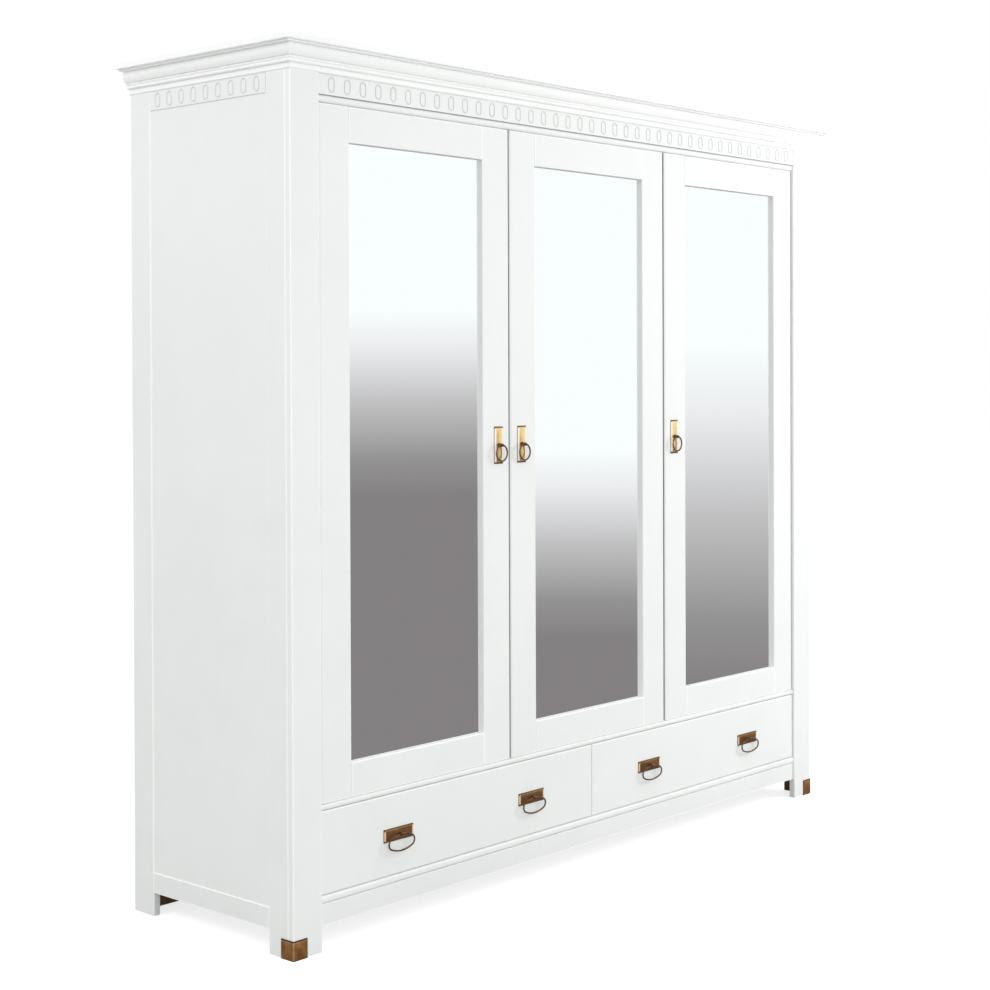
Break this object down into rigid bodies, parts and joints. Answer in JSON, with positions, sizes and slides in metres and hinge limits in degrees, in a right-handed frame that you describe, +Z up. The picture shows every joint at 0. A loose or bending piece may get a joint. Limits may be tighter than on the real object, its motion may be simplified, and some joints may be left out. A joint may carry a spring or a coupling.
{
  "type": "armoire",
  "caption": "White painted armoire with mirrored hinged doors over sliding drawers, corner legs, a carved frieze, a moulded cornice and brass ring pulls.",
  "frame": {"origin": "on the floor, at the middle of the width and of the depth over the cornice", "axes": "+X along the width to the viewer's right, +Y to the back, +Z up; the front faces -Y"},
  "size_m": [2.2, 0.62, 2.045],
  "materials": {
    "white_paint": "white satin lacquer",
    "inside_paint": "white satin lacquer",
    "bare_wood": "bare brown wood",
    "mirror_glass": "silvered glass",
    "polished_brass": "polished",
    "antique_brass": "antique brown",
    "foot_brass": "antique brown",
    "bush_brass": "machined",
    "steel": "nickel plated",
    "catch_plastic": "white"
  },
  "bodies": {
    "carcass": {"front_stile_left": "white_paint", "front_stile_right": "white_paint", "side_stiles": "white_paint", "side_panel_left": "white_paint", "side_panel_right": "white_paint", "side_rails": "white_paint", "side_friezes": "white_paint", "foot_caps": "foot_brass", "back_frame": "bare_wood", "back_panels": "inside_paint", "front_frieze": "white_paint", "top_bar": "white_paint", "mid_rail": "white_paint", "bottom_bead": "white_paint", "front_apron": "white_paint", "cornice_moulding": "white_paint", "cap_moulding": "white_paint", "roof_board": "inside_paint", "wardrobe_floor": "inside_paint", "bottom_board": "inside_paint", "partition": "inside_paint", "drawer_supports": "bare_wood", "hat_shelf": "inside_paint", "side_shelves": "inside_paint", "shelf_cleats": "inside_paint", "hanging_rail": "steel", "rail_fittings": "steel", "pivot_bushes": "bush_brass", "door_catches": "catch_plastic"},
    "door_left": {"door_left_stiles": "white_paint", "door_left_rails": "white_paint", "door_left_mirror": "mirror_glass", "door_left_backing": "white_paint", "door_left_pivots": "steel", "door_left_plate": "polished_brass"},
    "door_left_ring": {"door_left_ring": "antique_brass"},
    "door_middle": {"door_middle_stiles": "white_paint", "door_middle_rails": "white_paint", "door_middle_mirror": "mirror_glass", "door_middle_backing": "white_paint", "door_middle_pivots": "steel", "door_middle_plate": "polished_brass"},
    "door_middle_ring": {"door_middle_ring": "antique_brass"},
    "door_right": {"door_right_stiles": "white_paint", "door_right_rails": "white_paint", "door_right_mirror": "mirror_glass", "door_right_backing": "white_paint", "door_right_pivots": "steel", "door_right_plate": "polished_brass"},
    "door_right_ring": {"door_right_ring": "antique_brass"},
    "drawer_left": {"drawer_left_front": "white_paint", "drawer_left_box": "bare_wood", "drawer_left_plates": "antique_brass"},
    "drawer_left_bail_outer": {"drawer_left_bail_outer": "antique_brass"},
    "drawer_left_bail_inner": {"drawer_left_bail_inner": "antique_brass"},
    "drawer_right": {"drawer_right_front": "white_paint", "drawer_right_box": "bare_wood", "drawer_right_plates": "antique_brass"},
    "drawer_right_bail_outer": {"drawer_right_bail_outer": "antique_brass"},
    "drawer_right_bail_inner": {"drawer_right_bail_inner": "antique_brass"}
  },
  "joints": [
    {"name": "door_left_hinge", "type": "hinge", "parent": "carcass", "child": "door_left", "pos_m": [-0.959, -0.25, 1.12], "axis": [0, 0, -1], "range_deg": [0, 90]},
    {"name": "door_left_ring_pivot", "type": "hinge", "parent": "door_left", "child": "door_left_ring", "pos_m": [-0.367, -0.272, 1.12], "axis": [-1, 0, 0], "range_deg": [-6, 100]},
    {"name": "door_middle_hinge", "type": "hinge", "parent": "carcass", "child": "door_middle", "pos_m": [0.312, -0.25, 1.12], "axis": [0, 0, 1], "range_deg": [0, 90]},
    {"name": "door_middle_ring_pivot", "type": "hinge", "parent": "door_middle", "child": "door_middle_ring", "pos_m": [-0.28, -0.272, 1.12], "axis": [-1, 0, 0], "range_deg": [-6, 100]},
    {"name": "door_right_hinge", "type": "hinge", "parent": "carcass", "child": "door_right", "pos_m": [0.959, -0.25, 1.12], "axis": [0, 0, 1], "range_deg": [0, 90]},
    {"name": "door_right_ring_pivot", "type": "hinge", "parent": "door_right", "child": "door_right_ring", "pos_m": [0.367, -0.272, 1.12], "axis": [-1, 0, 0], "range_deg": [-6, 100]},
    {"name": "drawer_left_slide", "type": "slide", "parent": "carcass", "child": "drawer_left", "axis": [0, -1, 0], "range_m": [0, 0.38]},
    {"name": "drawer_left_bail_outer_pivot", "type": "hinge", "parent": "drawer_left", "child": "drawer_left_bail_outer", "pos_m": [-0.72325, -0.272, 0.22], "axis": [-1, 0, 0], "range_deg": [-6, 100]},
    {"name": "drawer_left_bail_inner_pivot", "type": "hinge", "parent": "drawer_left", "child": "drawer_left_bail_inner", "pos_m": [-0.24725, -0.272, 0.22], "axis": [-1, 0, 0], "range_deg": [-6, 100]},
    {"name": "drawer_right_slide", "type": "slide", "parent": "carcass", "child": "drawer_right", "axis": [0, -1, 0], "range_m": [0, 0.38]},
    {"name": "drawer_right_bail_outer_pivot", "type": "hinge", "parent": "drawer_right", "child": "drawer_right_bail_outer", "pos_m": [0.72325, -0.272, 0.22], "axis": [-1, 0, 0], "range_deg": [-6, 100]},
    {"name": "drawer_right_bail_inner_pivot", "type": "hinge", "parent": "drawer_right", "child": "drawer_right_bail_inner", "pos_m": [0.24725, -0.272, 0.22], "axis": [-1, 0, 0], "range_deg": [-6, 100]}
  ]
}
